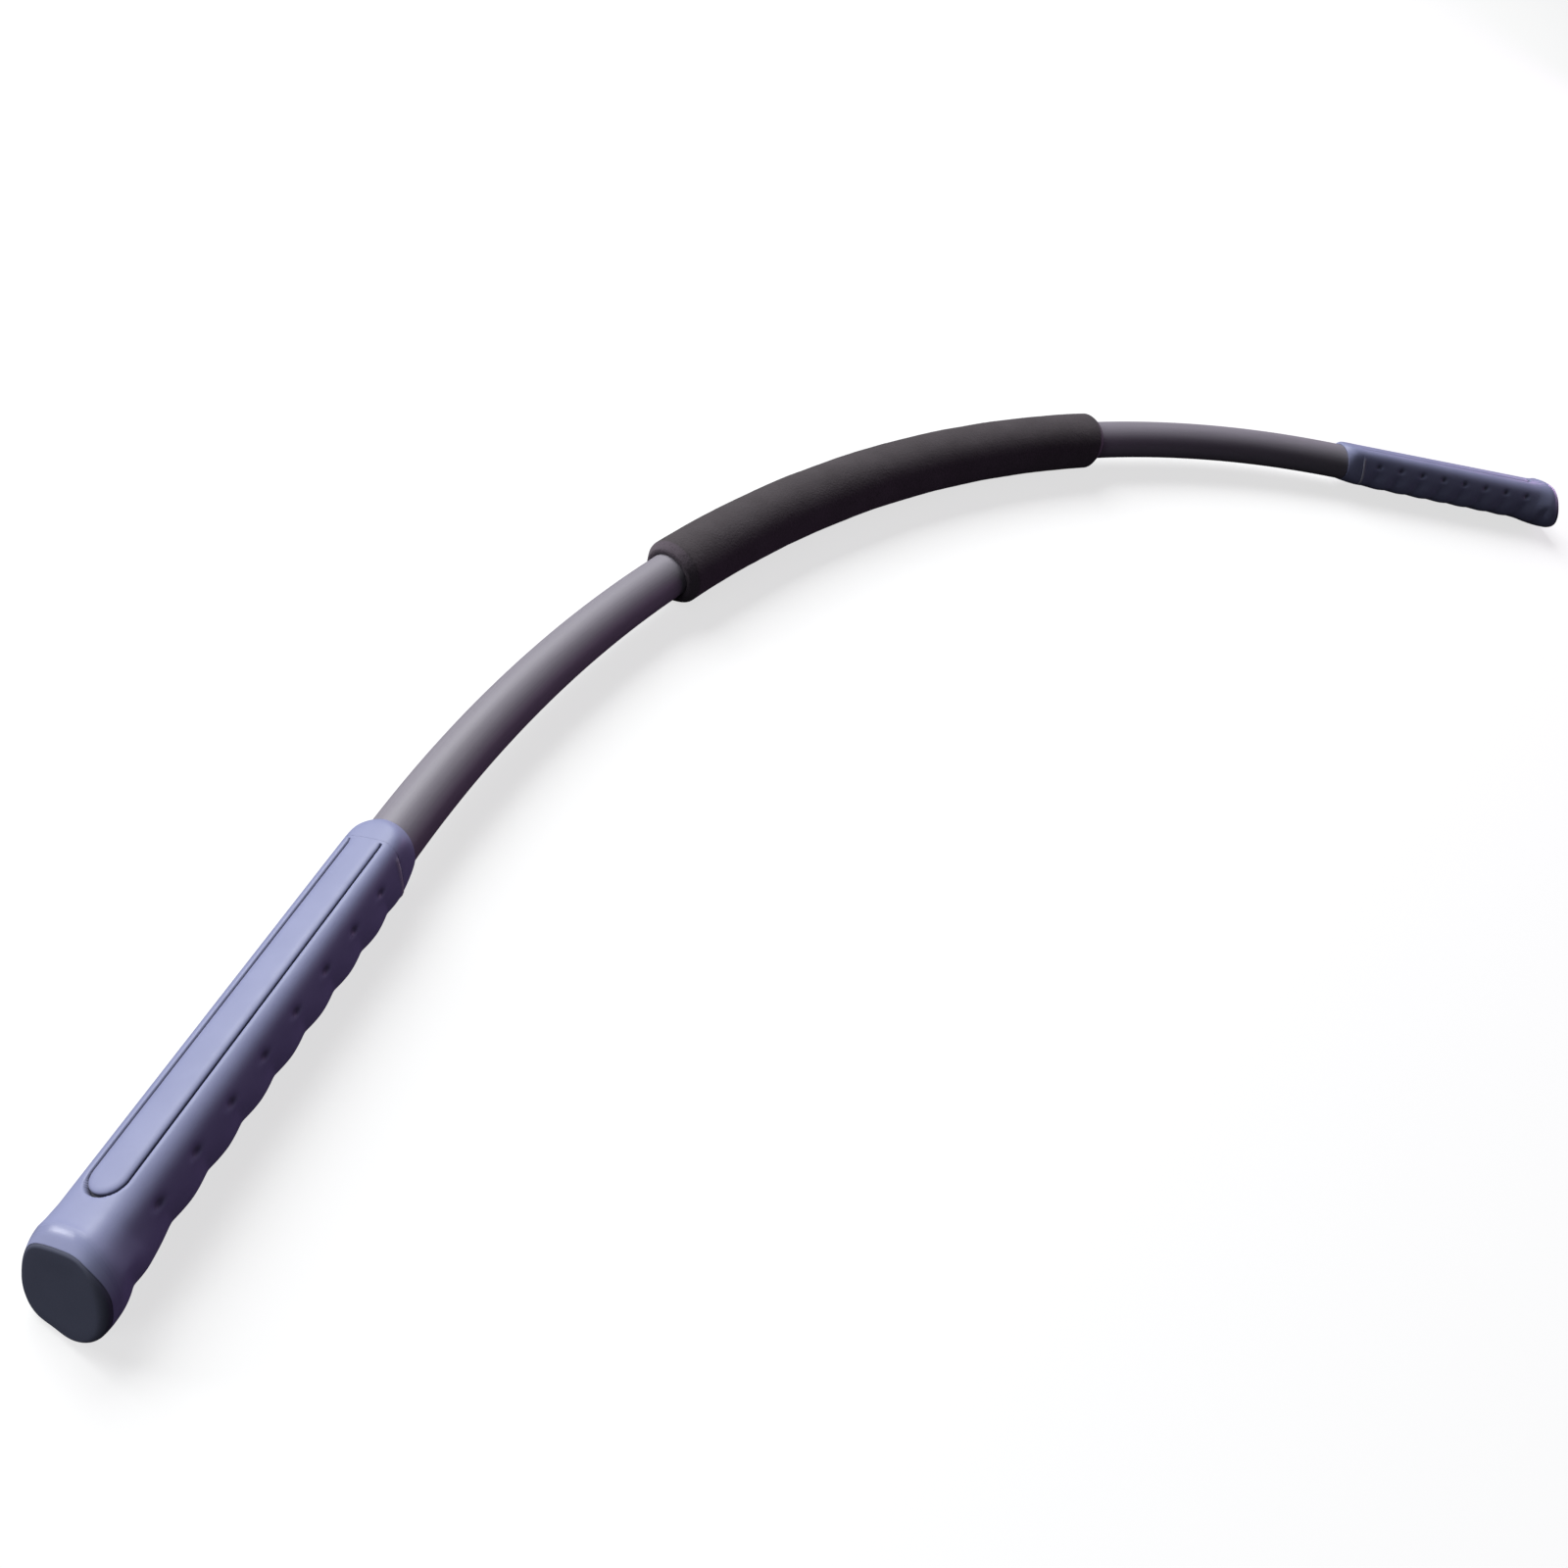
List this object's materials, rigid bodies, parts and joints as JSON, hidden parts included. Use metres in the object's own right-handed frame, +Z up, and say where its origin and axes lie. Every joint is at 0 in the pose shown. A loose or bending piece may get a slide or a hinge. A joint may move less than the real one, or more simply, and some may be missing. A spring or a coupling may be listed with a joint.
{
  "type": "flexible exercise bar",
  "caption": "Bow-shaped flexible bar with a foam sleeve round its middle and a moulded grip with a slanted end cap on each end; held by the grips and bent.",
  "frame": {"origin": "on the ground under the middle of the bar's outline, as it lies flat", "axes": "+X along the chord toward the right grip, +Y toward the outside of the bow, +Z up, square to the bow's plane"},
  "size_m": [0.9328, 0.2092, 0.0304],
  "materials": {
    "grip_soft": "soft satin",
    "cap": "fine matt",
    "sheath": "satin",
    "foam": "closed-cell foam, matt",
    "core": "pulled glass-fibre rod, plain",
    "grip_hard": "plain moulded",
    "pin_steel": "plain drawn"
  },
  "bodies": {
    "center": {"core_center": "core", "sheath_center": "sheath", "foam_center": "foam"},
    "left_inner": {"core_left_inner": "core", "sheath_left_inner": "sheath", "foam_left": "foam"},
    "left_outer": {"core_left_outer": "core", "sheath_left_outer": "sheath"},
    "left_grip": {"core_left_end": "core", "sheath_left_end": "sheath", "collar_left": "grip_soft", "grip_insert_left": "grip_hard", "grip_sleeve_left": "grip_soft", "palm_panel_left": "grip_soft", "retaining_pin_left": "pin_steel", "end_cap_left": "cap"},
    "right_inner": {"core_right_inner": "core", "sheath_right_inner": "sheath", "foam_right": "foam"},
    "right_outer": {"core_right_outer": "core", "sheath_right_outer": "sheath"},
    "right_grip": {"core_right_end": "core", "sheath_right_end": "sheath", "collar_right": "grip_soft", "grip_insert_right": "grip_hard", "grip_sleeve_right": "grip_soft", "palm_panel_right": "grip_soft", "retaining_pin_right": "pin_steel", "end_cap_right": "cap"}
  },
  "joints": [
    {"name": "left_flex_1", "type": "hinge", "parent": "center", "child": "left_inner", "pos_m": [-0.0748, 0.08492, 0.0152], "axis": [0, 0, 1], "range_deg": [-14.3, 18], "stiffness_Nm_per_rad": 40},
    {"name": "left_flex_2", "type": "hinge", "parent": "left_inner", "child": "left_outer", "pos_m": [-0.19277, 0.05779, 0.0152], "axis": [0, 0, 1], "range_deg": [-8.85, 11.2], "stiffness_Nm_per_rad": 65},
    {"name": "left_flex_3", "type": "hinge", "parent": "left_outer", "child": "left_grip", "pos_m": [-0.27773, 0.02145, 0.0152], "axis": [0, 0, 1], "range_deg": [-8.85, 11.2], "stiffness_Nm_per_rad": 65},
    {"name": "right_flex_1", "type": "hinge", "parent": "center", "child": "right_inner", "pos_m": [0.0748, 0.08492, 0.0152], "axis": [0, 0, -1], "range_deg": [-14.3, 18], "stiffness_Nm_per_rad": 40},
    {"name": "right_flex_2", "type": "hinge", "parent": "right_inner", "child": "right_outer", "pos_m": [0.19277, 0.05779, 0.0152], "axis": [0, 0, -1], "range_deg": [-8.85, 11.2], "stiffness_Nm_per_rad": 65},
    {"name": "right_flex_3", "type": "hinge", "parent": "right_outer", "child": "right_grip", "pos_m": [0.27773, 0.02145, 0.0152], "axis": [0, 0, -1], "range_deg": [-8.85, 11.2], "stiffness_Nm_per_rad": 65}
  ],
  "couplings": [
    {"joint": "left_flex_2", "follows": "left_flex_1", "ratio": 0.6167},
    {"joint": "left_flex_3", "follows": "left_flex_1", "ratio": 0.6167},
    {"joint": "right_flex_2", "follows": "right_flex_1", "ratio": 0.6167},
    {"joint": "right_flex_3", "follows": "right_flex_1", "ratio": 0.6167}
  ]
}
